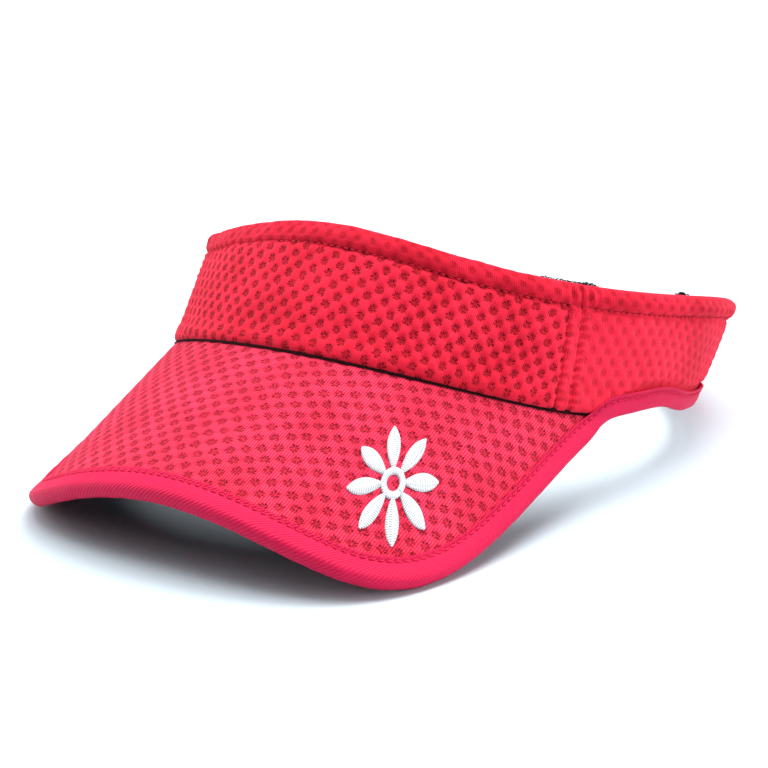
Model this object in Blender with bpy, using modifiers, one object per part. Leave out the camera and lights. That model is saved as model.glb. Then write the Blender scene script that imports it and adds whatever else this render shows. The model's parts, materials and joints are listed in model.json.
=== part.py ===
"""Sports sun visor: padded mesh headband, curved bill and a hook-and-loop strap at the back.

The pieces are drawn in the wearing frame (millimetres, wearer facing -Y, wearer's left at +X) and hang on
one empty, "rest_frame", which tips the visor back until the bill's two corners and the back of the band
stand on Z = 0. Layers are counted as depth: 0 is the outer face of the band, positive is towards the head.
"""
import math

import bmesh
import bpy
from mathutils import Matrix, Vector

MM = 0.001
GAP = 0.3

# Headband: an oval lower edge, with an upper edge that leans in at the brow and flares at the back.
HALF_WIDTH = 89.0
HALF_LENGTH = 102.0
BROW_HEIGHT = 48.4
SIDE_HEIGHT = 39.0
BACK_HEIGHT = 25.6
HEIGHT_RIPPLE = 3.2
BACK_RISE = 5.0
BACK_RISE_FROM = 125.0
BACK_RISE_SPAN = 35.0
BROW_LEAN = 27.0
SIDE_LEAN = -6.0
BACK_LEAN = -26.0
BAND_BULGE = 1.2
SEAM_LOW_DEG = 58.0
SEAM_HIGH_DEG = 61.5
PANEL_END_DEG = 162.0
TRIM_END_DEG = 161.6

# Bill: a cylinder pitched forward, cut to a rounded outline.
BILL_RADIUS = 1.0955 * HALF_WIDTH
BILL_PITCH_DEG = 35.0
BILL_REACH = 56.3
BILL_RISE = 10.9
BILL_ROOT_DEG = 73.0
ROOT_BLEND_FROM = 67.0
ROOT_BLEND_SPAN = 31.0
FRONT_HANDLE = 91.0
SIDE_HANDLE = 78.0
SIDE_SWEEP = -0.13
BILL_COVER_END = 0.89
BILL_BINDING_END = 0.955
BILL_ROOT_INSET = 0.5
BILL_EDGE_INSET = 2.1

# Layers of the band, outside to inside.
MESH_THICK = 1.0
FOAM_THICK = 1.8
LAYER_GAP = 0.5
TAPE_THICK = 0.8
SWEAT_THICK = 2.0
FOAM_DEPTH = MESH_THICK + 0.5
TAPE_DEPTH = FOAM_DEPTH + FOAM_THICK + LAYER_GAP
SWEAT_DEPTH = TAPE_DEPTH + TAPE_THICK + GAP
FRONT_TRIM = 1.5
EDGE_TRIM = 1.4
SWEAT_DROP = 4.5
SWEAT_TOP_TRIM = 1.4
SWEAT_END_DEG = 158.0
LEFT_FOAM_END_DEG = 137.0

# Layers of the bill, counted down from its upper face.
COVER_THICK = 0.8
BOARD_THICK = 1.8
BOARD_DEPTH = COVER_THICK + GAP
UNDER_DEPTH = BOARD_DEPTH + BOARD_THICK + GAP
BILL_THICK = UNDER_DEPTH + COVER_THICK

# Tape widths.
BILL_TAPE_WIDTH = 8.5
BILL_TAPE_GAP = 0.55
BACK_TAPE_WIDTH = 7.0
HEM_WIDTH_FRONT = 6.8
HEM_WIDTH_BACK = 5.0
SEAM_TAPE_DEG = 3.5
END_TAPE_DEG = 3.8

# Closure at the back: a strap on a cone about the visor's own upright axis.
CLOSURE_LOW = BACK_TAPE_WIDTH + 1.5
CLOSURE_HIGH = CLOSURE_LOW + 14.0
STRAP_THICK = 1.2
STRAP_ROOT_DEG = 38.0
STRAP_FOLD_DEG = -17.0
STRAP_TIP_DEG = -50.0
STRAP_GAP_DEG = 0.3
STRAP_IN_DEPTH = 2.9
STRAP_OUT_DEPTH = -3.5
STRAP_CROSS_DEG = 14.0
HOOK_THICK = 0.7
HOOK_DEPTH = -2.25
HOOK_FROM_DEG = -27.0
HOOK_TO_DEG = -48.5
LOOP_THICK = 0.7
LOOP_FROM_DEG = 126.0
LOOP_TO_DEG = 155.5

# Small pieces.
MOTIF_X = 0.61 * HALF_WIDTH
MOTIF_Y = -HALF_LENGTH - 14.5
MOTIF_RADIUS = 16.5
MOTIF_PETALS = 8
MOTIF_THICK = 0.8
LABEL_DEG = 112.0
LABEL_HALF_DEG = 4.5
LABEL_LOW = 10.0
LABEL_HIGH = 26.0
LABEL_THICK = 0.5

CRIMSON = (0.80, 0.020, 0.075)
MAGENTA = (0.78, 0.010, 0.105)
BLACK = (0.012, 0.012, 0.014)


def smooth(t):
    """Ease from 0 to 1 with flat ends."""
    t = min(max(t, 0.0), 1.0)
    return t * t * (3.0 - 2.0 * t)


def harmonic(u, front, side, back):
    """A value that passes through three stations of the oval: brow, side and back."""
    c = math.cos(u)
    return side + 0.5 * (front - back) * c + (0.5 * (front + back) - side) * c * c


def bill_height(x, y):
    """Height of the bill's upper face over the plan point (x, y)."""
    pitch = math.radians(BILL_PITCH_DEG)
    drop = BILL_RADIUS - math.sqrt(max(BILL_RADIUS ** 2 - x * x, 1.0))
    return BILL_RISE + (HALF_LENGTH + y) * math.tan(pitch) - drop / math.cos(pitch)


def bill_normal(x, y):
    """Upward normal of the bill's upper face."""
    pitch = math.radians(BILL_PITCH_DEG)
    slope_x = -x / math.sqrt(max(BILL_RADIUS ** 2 - x * x, 1.0)) / math.cos(pitch)
    return Vector((-slope_x, -math.tan(pitch), 1.0)).normalized()


def oval(u):
    return HALF_WIDTH * math.sin(u), -HALF_LENGTH * math.cos(u)


def lower_edge(u):
    """The band's lower edge: on the bill at the front, flat at the back."""
    x, y = oval(u)
    ease = smooth((math.degrees(abs(u)) - ROOT_BLEND_FROM) / ROOT_BLEND_SPAN)
    return Vector((x, y, bill_height(x, y) * (1.0 - ease)))


def upper_edge(u):
    """The band's upper edge, moved in or out by the lean of the wall."""
    low = lower_edge(u)
    height = harmonic(u, BROW_HEIGHT, SIDE_HEIGHT, BACK_HEIGHT) + HEIGHT_RIPPLE * math.cos(3.0 * u)
    height += BACK_RISE * smooth((math.degrees(abs(u)) - BACK_RISE_FROM) / BACK_RISE_SPAN)
    lean = math.radians(harmonic(u, BROW_LEAN, SIDE_LEAN, BACK_LEAN))
    out = Vector((HALF_LENGTH * math.sin(u), -HALF_WIDTH * math.cos(u), 0.0)).normalized()
    top = low - out * (height - low.z) * math.tan(lean)
    top.z = height
    return top


def wall(u, v):
    """Outer face of the band: a ruled wall with a slight outward swell."""
    low = lower_edge(u)
    top = upper_edge(u)
    out = Vector((HALF_LENGTH * math.sin(u), -HALF_WIDTH * math.cos(u), 0.0)).normalized()
    return low.lerp(top, v) + out * BAND_BULGE * 4.0 * v * (1.0 - v)


def band(u, v, depth):
    """A point at the given depth under the outer face."""
    step = 0.01
    along = wall(u + step, v) - wall(u - step, v)
    up = wall(u, v + step) - wall(u, v - step)
    return wall(u, v) - along.cross(up).normalized() * depth


def wall_length(u):
    return (upper_edge(u) - lower_edge(u)).length


def from_low(u, distance):
    return distance / wall_length(u)


def from_top(u, distance):
    return 1.0 - distance / wall_length(u)


def outline(t):
    """Plan of the bill's edge for t in -1..1; 0 is the middle of the front, 1 the left root."""
    side = 1.0 if t >= 0.0 else -1.0
    t = abs(t)
    root = Vector(oval(math.radians(BILL_ROOT_DEG)))
    nose = Vector((0.0, -HALF_LENGTH - BILL_REACH))
    sweep = Vector((SIDE_SWEEP, -1.0)).normalized()
    points = (nose, nose + Vector((FRONT_HANDLE, 0.0)), root + sweep * SIDE_HANDLE, root)
    weights = ((1 - t) ** 3, 3 * t * (1 - t) ** 2, 3 * t * t * (1 - t), t ** 3)
    plan = sum((p * w for p, w in zip(points, weights)), Vector((0.0, 0.0)))
    return Vector((plan.x * side, plan.y))


def on_bill(plan, under):
    """The plan point lifted to the bill's upper face, then moved down through its layers."""
    return Vector((plan.x, plan.y, bill_height(plan.x, plan.y))) - bill_normal(plan.x, plan.y) * under


def edge_inward(t):
    """Plan direction from the bill's edge towards the band, and its length on the sloping face."""
    step = 0.002
    along = outline(t + step) - outline(t - step)
    inward = Vector((-along.y, along.x)).normalized()
    here = outline(t)
    rise = bill_height(here.x + inward.x, here.y + inward.y) - bill_height(here.x, here.y)
    return inward, math.hypot(1.0, rise)


def bill_edge(t, inset, under):
    """A point near the bill's edge: inset along the face, then down through the layers."""
    inward, stretch = edge_inward(t)
    return on_bill(outline(t) + inward * (inset / stretch), under)


def bill_root(t):
    """Plan of the bill's inner edge, just under the band's outer face."""
    x, y = oval(math.radians(BILL_ROOT_DEG) * t)
    out = Vector((HALF_LENGTH * x / HALF_WIDTH, HALF_WIDTH * y / HALF_LENGTH)).normalized()
    return Vector((x, y)) - out * BILL_ROOT_INSET


def bill_sheet(under):
    """Surface of one bill layer: across from edge to edge, then from the band to the outline."""
    def point(a, b):
        t = (2.0 * a - 1.0) * BILL_COVER_END
        inward, stretch = edge_inward(t)
        rim = outline(t) + inward * (BILL_EDGE_INSET / stretch)
        return on_bill(bill_root(t).lerp(rim, b), under)
    return point


def room_at_root(t):
    """Width of the bill between the band and the outline."""
    return (outline(t) - bill_root(t)).length


def bill_wrap(a, b):
    """Edge tape of the bill: over the top, round the edge and back below."""
    t = (2.0 * a - 1.0) * BILL_BINDING_END
    width = min(BILL_TAPE_WIDTH, room_at_root(t) - 2.0)
    half = 0.5 * TAPE_THICK
    over = -BILL_TAPE_GAP - half
    below = BILL_THICK + BILL_TAPE_GAP + half
    profile = (
        (width, over),
        (0.6 * width, over),
        (1.5, over + 0.2),
        (half, 0.3 * BILL_THICK),
        (half, 0.7 * BILL_THICK),
        (1.5, below - 0.2),
        (0.6 * width, below),
        (width, below),
    )
    inset, under = along_profile(profile, b)
    return bill_edge(t, inset, under)


def along_profile(profile, b):
    """Point number b * (n - 1) of a profile."""
    return profile[round(b * (len(profile) - 1))]


def edge_wrap(low, start_deg, end_deg):
    """Tape folded over an edge of the band: low for the bottom edge, else the top hem."""
    def point(a, b):
        deg = start_deg + (end_deg - start_deg) * a
        u = math.radians(deg)
        back = abs(deg) / 180.0
        width = BACK_TAPE_WIDTH if low else HEM_WIDTH_FRONT + (HEM_WIDTH_BACK - HEM_WIDTH_FRONT) * back
        half = 0.5 * TAPE_THICK
        outer = -GAP - half
        inner = TAPE_DEPTH + half
        profile = (
            (width, outer),
            (0.55 * width, outer),
            (0.7, outer),
            (-GAP - half, 0.35 * inner),
            (-GAP - half, 0.65 * inner),
            (0.7, inner),
            (0.55 * width, inner),
            (width, inner),
        )
        distance, depth = along_profile(profile, b)
        v = from_low(u, distance) if low else from_top(u, distance)
        return band(u, v, depth)
    return point


def seam_deg(v):
    return SEAM_LOW_DEG + (SEAM_HIGH_DEG - SEAM_LOW_DEG) * v


def front_layer(depth):
    """Brow panel, from seam to seam."""
    def point(a, b):
        edge = seam_deg(b) - 0.15
        u = math.radians((2.0 * a - 1.0) * edge)
        low = from_low(u, FRONT_TRIM)
        high = from_top(u, EDGE_TRIM)
        return band(u, low + (high - low) * b, depth)
    return point


def side_layer(side, depth, end_deg):
    """Side panel, from the seam back to the closure."""
    def point(a, b):
        start = seam_deg(b) + 0.15
        u = math.radians(side * (start + (end_deg - start) * a))
        low = from_low(u, EDGE_TRIM)
        high = from_top(u, EDGE_TRIM)
        return band(u, low + (high - low) * b, depth)
    return point


def sweatband(a, b):
    """Towelling band next to the head; at the brow it hangs below the bill's root."""
    deg = (2.0 * a - 1.0) * SWEAT_END_DEG
    u = math.radians(deg)
    drop = -SWEAT_DROP + (SWEAT_DROP + EDGE_TRIM) * smooth((abs(deg) - 45.0) / 30.0)
    low = from_low(u, drop)
    high = from_top(u, SWEAT_TOP_TRIM)
    return band(u, low + (high - low) * b, SWEAT_DEPTH + 0.5 * SWEAT_THICK)


def seam_tape(side):
    """Tape over the inside of a side seam."""
    def point(a, b):
        u = math.radians(side * (seam_deg(b) + (2.0 * a - 1.0) * SEAM_TAPE_DEG))
        low = from_low(u, 2.0)
        high = from_top(u, HEM_WIDTH_FRONT + 1.5)
        return band(u, low + (high - low) * b, TAPE_DEPTH + 0.5 * TAPE_THICK)
    return point


def end_tape(side):
    """Upright tape on the outside of a side panel's back end."""
    def point(a, b):
        u = math.radians(side * (PANEL_END_DEG - END_TAPE_DEG * (1.0 - a)))
        low = from_low(u, BACK_TAPE_WIDTH + 0.4)
        high = from_top(u, HEM_WIDTH_BACK + 0.7)
        return band(u, low + (high - low) * b, -GAP - 0.5 * TAPE_THICK)
    return point


def loop_patch(a, b):
    """Soft patch on the outside of the right side panel."""
    u = -math.radians(LOOP_FROM_DEG + (LOOP_TO_DEG - LOOP_FROM_DEG) * a)
    height = CLOSURE_LOW - 0.2 + (CLOSURE_HIGH - CLOSURE_LOW + 0.4) * b
    return band(u, from_low(u, height), -GAP - 0.5 * LOOP_THICK)


def closure_centre():
    """Centre of curvature of the oval at the back, on the visor's own upright axis."""
    return HALF_LENGTH - HALF_WIDTH ** 2 / HALF_LENGTH


def cone(theta_deg, height, depth):
    """A point on the back cone: theta from the back towards the wearer's left."""
    lean = math.radians(-BACK_LEAN)
    theta = math.radians(theta_deg)
    radius = HALF_LENGTH - closure_centre() + 0.7 + height * math.sin(lean) - depth * math.cos(lean)
    z = height * math.cos(lean) + depth * math.sin(lean)
    return Vector((radius * math.sin(theta), closure_centre() + radius * math.cos(theta), z))


def strap_depth(theta_deg):
    """The strap leaves the left panel's sleeve and passes outside the right panel."""
    ease = smooth((STRAP_CROSS_DEG - theta_deg) / (2.0 * STRAP_CROSS_DEG))
    return STRAP_IN_DEPTH + (STRAP_OUT_DEPTH - STRAP_IN_DEPTH) * ease


def strap(from_deg, to_deg, rounded_tip):
    def point(a, b):
        theta = from_deg + (to_deg - from_deg) * a
        middle = 0.5 * (CLOSURE_LOW + CLOSURE_HIGH)
        half = 0.5 * (CLOSURE_HIGH - CLOSURE_LOW)
        if rounded_tip:
            half *= math.sqrt(1.0 - 0.55 * max(0.0, (a - 0.8) / 0.2) ** 2)
        return cone(theta, middle + half * (2.0 * b - 1.0), strap_depth(theta))
    return point


def hook_patch(a, b):
    theta = HOOK_FROM_DEG + (HOOK_TO_DEG - HOOK_FROM_DEG) * a
    height = CLOSURE_LOW + 1.2 + (CLOSURE_HIGH - CLOSURE_LOW - 2.4) * b
    return cone(theta, height, HOOK_DEPTH)


def motif(a, b):
    """Petalled rosette laid on the bill, open at its centre."""
    angle = 2.0 * math.pi * a
    petal = 0.45 + 0.55 * math.sqrt(abs(math.cos(0.5 * MOTIF_PETALS * angle)))
    radius = MOTIF_RADIUS * (0.16 + (petal - 0.16) * b)
    plan = Vector((MOTIF_X + radius * math.cos(angle) * 0.72, MOTIF_Y + radius * math.sin(angle)))
    return on_bill(plan, -GAP - 0.5 * MOTIF_THICK)


def care_label(a, b):
    u = math.radians(LABEL_DEG + (2.0 * a - 1.0) * LABEL_HALF_DEG)
    depth = SWEAT_DEPTH + SWEAT_THICK + GAP + 0.5 * LABEL_THICK
    return band(u, from_low(u, LABEL_LOW + (LABEL_HIGH - LABEL_LOW) * b), depth)


def material(name, colour, roughness):
    mat = bpy.data.materials.new(name)
    mat.use_nodes = True
    shader = mat.node_tree.nodes["Principled BSDF"]
    shader.inputs["Base Color"].default_value = (*colour, 1.0)
    shader.inputs["Roughness"].default_value = roughness
    shader.inputs["Metallic"].default_value = 0.0
    return mat


def empty(name, parent, location):
    obj = bpy.data.objects.new(name, None)
    obj.empty_display_size = 0.02
    obj.location = location
    obj.parent = parent
    visor.objects.link(obj)
    return obj


def sheet(name, across, up, surface, thick, colour, parent, roughness=0.85, weld=False):
    """An open grid laid on a surface and thickened both ways with Solidify."""
    bm = bmesh.new()
    bmesh.ops.create_grid(bm, x_segments=across, y_segments=up, size=0.5)
    origin = Vector((0.0, 0.0, 0.0)) if parent is rest_frame else parent.location
    for vert in bm.verts:
        a = min(max(vert.co.x + 0.5, 0.0), 1.0)
        b = min(max(vert.co.y + 0.5, 0.0), 1.0)
        vert.co = surface(a, b) * MM - origin
    if weld:
        bmesh.ops.remove_doubles(bm, verts=bm.verts, dist=1e-6)
    mesh = bpy.data.meshes.new(name)
    bm.to_mesh(mesh)
    bm.free()
    mesh.shade_smooth()
    mesh.set_sharp_from_angle(angle=math.radians(50.0))
    obj = bpy.data.objects.new(name, mesh)
    obj.data.materials.append(material(name, colour, roughness))
    obj.parent = parent
    visor.objects.link(obj)
    shell = obj.modifiers.new("thickness", "SOLIDIFY")
    shell.thickness = thick * MM
    shell.offset = 0.0
    return obj


def lowest(tilt, sign):
    """Lowest height of the bill tape (sign -1) or the back tape (sign +1) once tipped by tilt."""
    turn = Matrix.Rotation(-tilt, 3, "X")
    if sign < 0:
        points = [bill_wrap(a / 96.0, b / 7.0) for a in range(97) for b in range(8)]
    else:
        wrap = edge_wrap(True, BILL_ROOT_DEG, TRIM_END_DEG)
        points = [wrap(a / 48.0, b / 7.0) for a in range(49) for b in range(8)]
    return min((turn @ p).z for p in points)


def rest_tilt():
    """Tilt at which the bill's corners and the back of the band touch one plane."""
    low, high = 0.0, math.radians(30.0)
    for _ in range(40):
        middle = 0.5 * (low + high)
        if lowest(middle, -1) < lowest(middle, 1):
            low = middle
        else:
            high = middle
    return 0.5 * (low + high)


for old in list(bpy.data.objects):
    bpy.data.objects.remove(old, do_unlink=True)

visor = bpy.data.collections.new("sun_visor")
bpy.context.scene.collection.children.link(visor)
rest_frame = empty("rest_frame", None, (0.0, 0.0, 0.0))

front_mid = 0.5 * MESH_THICK
foam_mid = FOAM_DEPTH + 0.5 * FOAM_THICK

sheet("front_panel_mesh", 21, 4, front_layer(front_mid), MESH_THICK, CRIMSON, rest_frame)
sheet("front_panel_foam", 21, 3, front_layer(foam_mid), FOAM_THICK, CRIMSON, rest_frame)
for word, side in (("left", 1.0), ("right", -1.0)):
    foam_end = LEFT_FOAM_END_DEG if side > 0 else PANEL_END_DEG
    sheet(f"side_panel_mesh_{word}", 18, 3, side_layer(side, front_mid, PANEL_END_DEG), MESH_THICK, CRIMSON, rest_frame)
    sheet(f"side_panel_foam_{word}", 18, 2, side_layer(side, foam_mid, foam_end), FOAM_THICK, CRIMSON, rest_frame)
    sheet(f"side_seam_tape_{word}", 2, 3, seam_tape(side), TAPE_THICK, CRIMSON, rest_frame)
    sheet(
        f"back_edge_binding_{word}", 18, 7,
        edge_wrap(True, side * (BILL_ROOT_DEG - 1.0), side * TRIM_END_DEG), TAPE_THICK, MAGENTA, rest_frame, 0.6,
    )
    sheet(f"panel_end_tape_{word}", 1, 3, end_tape(side), TAPE_THICK, BLACK, rest_frame)
sheet("top_edge_binding", 51, 7, edge_wrap(False, -TRIM_END_DEG, TRIM_END_DEG), TAPE_THICK, CRIMSON, rest_frame)
sheet("sweatband_terry", 43, 3, sweatband, SWEAT_THICK, BLACK, rest_frame, 1.0)
sheet("bill_top_cover", 36, 6, bill_sheet(0.5 * COVER_THICK), COVER_THICK, CRIMSON, rest_frame)
sheet("bill_board", 36, 6, bill_sheet(BOARD_DEPTH + 0.5 * BOARD_THICK), BOARD_THICK, (0.02, 0.02, 0.02), rest_frame, 0.5)
sheet("bill_under_cover", 36, 6, bill_sheet(UNDER_DEPTH + 0.5 * COVER_THICK), COVER_THICK, BLACK, rest_frame)
sheet("bill_edge_binding", 52, 7, bill_wrap, TAPE_THICK, MAGENTA, rest_frame, 0.6)
sheet("embroidered_motif", 48, 2, motif, MOTIF_THICK, (0.9, 0.9, 0.9), rest_frame, 0.5, weld=True)
sheet("care_label", 2, 2, care_label, LABEL_THICK, (0.85, 0.85, 0.83), rest_frame, 0.7)
sheet("loop_patch", 8, 1, loop_patch, LOOP_THICK, BLACK, rest_frame, 1.0)

size_axis = empty("size_axis", rest_frame, Vector((0.0, closure_centre(), 0.0)) * MM)
fold = cone(STRAP_FOLD_DEG, CLOSURE_LOW, strap_depth(STRAP_FOLD_DEG)) * MM
root_piece = sheet(
    "closure_strap", 16, 1, strap(STRAP_ROOT_DEG, STRAP_FOLD_DEG + STRAP_GAP_DEG, False), STRAP_THICK, BLACK, size_axis
)
peel_axis = empty("peel_axis", size_axis, fold - size_axis.location)
tip_piece = sheet(
    "closure_strap_tip", 10, 2, strap(STRAP_FOLD_DEG - STRAP_GAP_DEG, STRAP_TIP_DEG, True), STRAP_THICK, BLACK, size_axis
)
hooks = sheet("hook_patch", 7, 1, hook_patch, HOOK_THICK, BLACK, size_axis, 1.0)
for piece in (tip_piece, hooks):
    piece.data.transform(Matrix.Translation(-peel_axis.location))
    piece.parent = peel_axis

# Tip the visor back onto its three points of rest and centre it over the origin.
rest_frame.rotation_euler = (-rest_tilt(), 0.0, 0.0)
bpy.context.view_layer.update()
depsgraph = bpy.context.evaluated_depsgraph_get()
corners = []
for obj in visor.objects:
    if obj.type == "MESH":
        shape = obj.evaluated_get(depsgraph)
        corners += [shape.matrix_world @ v.co for v in shape.data.vertices]
rest_frame.location = (
    0.0,
    -0.5 * (min(c.y for c in corners) + max(c.y for c in corners)),
    -min(c.z for c in corners),
)
bpy.context.view_layer.update()
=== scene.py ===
"""Sports sun visor in crimson mesh: the finished cloth, tape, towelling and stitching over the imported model.

Shapes are worked out in the wearing frame in millimetres (the wearer faces -Y, depth counts inwards from the
band's outer face), then set down on the table by the turn and place of the strap_length joint's axis.
"""
import json
import math
from functools import partial, partialmethod

import bpy
import numpy as np
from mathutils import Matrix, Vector, noise


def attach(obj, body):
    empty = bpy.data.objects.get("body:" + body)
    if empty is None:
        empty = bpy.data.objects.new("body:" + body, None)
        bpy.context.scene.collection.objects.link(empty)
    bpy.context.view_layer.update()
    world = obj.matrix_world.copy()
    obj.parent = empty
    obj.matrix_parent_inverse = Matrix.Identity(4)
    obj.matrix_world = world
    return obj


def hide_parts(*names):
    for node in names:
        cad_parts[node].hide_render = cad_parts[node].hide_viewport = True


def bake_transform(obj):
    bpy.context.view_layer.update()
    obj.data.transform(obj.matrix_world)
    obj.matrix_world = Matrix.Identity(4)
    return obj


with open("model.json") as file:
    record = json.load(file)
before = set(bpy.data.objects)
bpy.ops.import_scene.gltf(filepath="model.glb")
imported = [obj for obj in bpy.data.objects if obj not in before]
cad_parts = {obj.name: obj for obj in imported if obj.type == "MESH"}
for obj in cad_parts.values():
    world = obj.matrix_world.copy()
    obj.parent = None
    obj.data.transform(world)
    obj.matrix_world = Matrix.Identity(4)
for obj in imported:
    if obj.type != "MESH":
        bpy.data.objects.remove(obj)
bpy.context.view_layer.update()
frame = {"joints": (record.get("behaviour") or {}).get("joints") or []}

TAU = 2.0 * math.pi
FULL_TURN, LOOP_LEAST, LOOP_MOST = 6.283, 0.6, 1.35

# The wearing frame: the size joint turns about its upright axis, through the centre of the back's curve.
HALF_WIDTH = 89.0
HALF_LENGTH = 102.0
BACK_CENTRE = HALF_LENGTH - HALF_WIDTH ** 2 / HALF_LENGTH
size_joint = next(j for j in frame["joints"] if j["name"] == "strap_length")
TILT = math.atan2(size_joint["axis"][1], size_joint["axis"][2])
TURN = np.array([[1, 0, 0], [0, math.cos(TILT), math.sin(TILT)], [0, -math.sin(TILT), math.cos(TILT)]])
PLACE = np.array(size_joint["pos_m"]) - TURN @ np.array([0.0, BACK_CENTRE * 0.001, 0.0])

# Band, in millimetres and degrees round it. Depths count inwards from its outer face.
BROW_HEIGHT, SIDE_HEIGHT, BACK_HEIGHT, HEIGHT_RIPPLE = 48.4, 39.0, 25.6, 3.2
BACK_RISE, BACK_RISE_FROM, BACK_RISE_SPAN = 5.0, 125.0, 35.0
BROW_LEAN, SIDE_LEAN, BACK_LEAN = 27.0, -6.0, -26.0
BAND_BULGE, BROW_SLUMP, SLUMP_AT, SLUMP_HALF = 1.2, 2.2, -58.0, 24.0
FADE_FROM, FADE_SPAN = 67.0, 31.0
SEAM_LOW, SEAM_HIGH, SEAM_SHIFT, GATHER_PITCH = 58.0, 61.5, 2.65, 2.6
PANEL_END, TAPE_END, SWEAT_END = 162.0, 161.6, 158.0
FOAM_TOP, FOAM_INNER, TAPE_DEPTH, TAPE_THICK = 1.55, 3.3, 3.8, 0.8
SWEAT_DEPTH, SWEAT_THICK = 4.9, 2.0
STITCH_DEPTH = 0.62

# Bill.
BILL_RADIUS = 1.0955 * HALF_WIDTH
BILL_PITCH = math.radians(35.0)
BILL_REACH, BILL_RISE, BILL_ROOT = 56.3, 10.9, 73.0
FRONT_HANDLE, SIDE_HANDLE, SIDE_SWEEP = 91.0, 78.0, -0.13
BILL_THICK, COVER_INSET = 4.0, 2.0

# Edge tapes and hem: widths on the cloth, width of the flat cut, and scale of the weave across it.
EDGE_TAPE, BACK_TAPE, HEM_FRONT, HEM_BACK = 8.5, 7.0, 6.8, 5.0
TAPE_ROLL, TAPE_LEG, TAPE_LINE, HEM_LEG, FOLD_THICK = 2.3, 0.34, 1.5, 0.36, 0.75
TAPE_FLAT, TAPE_WEAVE, HEM_FLAT, HEM_WEAVE = 18.5, 24.0, 16.3, 22.0

# Strap and motif; the strap's flat length and weave are in millimetres for each degree of its turn.
STRAP_ROOT, STRAP_FOLD, STRAP_TIP, STRAP_CROSS = 38.0, -17.0, -50.0, 14.0
STRAP_LOW, STRAP_HIGH, STRAP_THICK = 8.5, 22.5, 1.2
STRAP_INSIDE, STRAP_OUTSIDE, STRAP_FLAT, STRAP_WEAVE = 2.9, -3.5, 1.48, 1.35
HOOK_START, HOOK_END, LOOP_START, LOOP_SPAN = -27.0, -48.5, 126.0, 29.5
MOTIF_X, MOTIF_Y, MOTIF_RADIUS, MOTIF_PETALS = 0.61 * HALF_WIDTH, -HALF_LENGTH - 14.5, 16.5, 8
PETAL_ROOT, RING_INNER, RING_WIDE, THREAD_PITCH = 4.4, 2.3, 2.2, 0.62

# The mesh's eyelets stand in a centred cell, given as width and height in millimetres.
BAND_CELL, BILL_CELL = (5.87, 6.8), (7.4, 5.74)
BAND_EYELET, BAND_FAN, BAND_SLOPE, BAND_BOW = (28.1, 6.2), 0.0063, 0.12, 0.0003
FAN_ARC, FAN_HEIGHT, SIDE_FAN, SIDE_CLIMB = 3.0, 20.0, 0.12, 0.1
BILL_EYELET, BILL_GRAIN = (24.4, 32.5), math.radians(8.5)


# ---------------- shapes of the band and the bill
def ease(t):
    t = np.clip(t, 0.0, 1.0)
    return t * t * (3.0 - 2.0 * t)


def bump_at(x, centre, half):
    """A smooth hump of height 1 at centre."""
    return np.exp(-((x - centre) / half) ** 2)


def stack(x, y, z):
    x, y, z = np.broadcast_arrays(x, y, z)
    return np.stack([x, y, z], axis=-1).astype(float)


def unit(v):
    return v / np.linalg.norm(v, axis=-1, keepdims=True)


def harmonic(u, front, side, back):
    c = np.cos(u)
    return side + 0.5 * (front - back) * c + (0.5 * (front + back) - side) * c * c


def bill_height(x, y):
    drop = BILL_RADIUS - np.sqrt(np.maximum(BILL_RADIUS ** 2 - x * x, 1.0))
    return BILL_RISE + (HALF_LENGTH + y) * math.tan(BILL_PITCH) - drop / math.cos(BILL_PITCH)


def bill_normal(x):
    slope = x / np.sqrt(np.maximum(BILL_RADIUS ** 2 - x * x, 1.0)) / math.cos(BILL_PITCH)
    return unit(stack(slope, -math.tan(BILL_PITCH), 1.0))


def band_out(u):
    return unit(stack(HALF_LENGTH * np.sin(u), -HALF_WIDTH * np.cos(u), 0.0))


def lower_edge(u):
    """The band's lower edge: up on the bill in front, level behind it."""
    x, y = HALF_WIDTH * np.sin(u), -HALF_LENGTH * np.cos(u)
    fade = ease((np.degrees(np.abs(u)) - FADE_FROM) / FADE_SPAN)
    return stack(x, y, bill_height(x, y) * (1.0 - fade))


def upper_edge(u):
    low = lower_edge(u)
    height = harmonic(u, BROW_HEIGHT, SIDE_HEIGHT, BACK_HEIGHT) + HEIGHT_RIPPLE * np.cos(3.0 * u)
    height += BACK_RISE * ease((np.degrees(np.abs(u)) - BACK_RISE_FROM) / BACK_RISE_SPAN)
    lean = np.radians(harmonic(u, BROW_LEAN, SIDE_LEAN, BACK_LEAN))
    slump = BROW_SLUMP * bump_at(np.degrees(u), SLUMP_AT, SLUMP_HALF)
    top = low - band_out(u) * ((height - low[..., 2]) * np.tan(lean) + slump)[..., None]
    top[..., 2] = height
    return top


def wall(u, v):
    low, top = lower_edge(u), upper_edge(u)
    v = v[..., None]
    return low * (1 - v) + top * v + band_out(u) * BAND_BULGE * 4.0 * v * (1.0 - v)


def band(u, v, depth):
    u, v, depth = np.broadcast_arrays(u, v, depth)
    step = 0.01
    along = wall(u + step, v) - wall(u - step, v)
    up = wall(u, v + step) - wall(u, v - step)
    return wall(u, v) - unit(np.cross(along, up)) * depth[..., None]


def wall_length(u):
    return np.linalg.norm(upper_edge(u) - lower_edge(u), axis=-1)


def from_low(u, distance):
    return distance / wall_length(u)


def from_top(u, distance):
    return 1.0 - distance / wall_length(u)


def rows_up(u, low, top, b):
    """Shares of the band's height: b runs from low millimetres over its lower edge to top under its upper."""
    start = from_low(u, low)
    return start + (from_top(u, top) - start) * b


def path_length(points):
    """Length along a path up to each of its points."""
    return np.concatenate([[0.0], np.cumsum(np.linalg.norm(np.diff(points, axis=0), axis=1))])


FINE_U = np.linspace(-math.pi, math.pi, 2881)
FINE_ARC = path_length(wall(FINE_U, np.full_like(FINE_U, 0.5)))
FINE_ARC -= np.interp(0.0, FINE_U, FINE_ARC)


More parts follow.
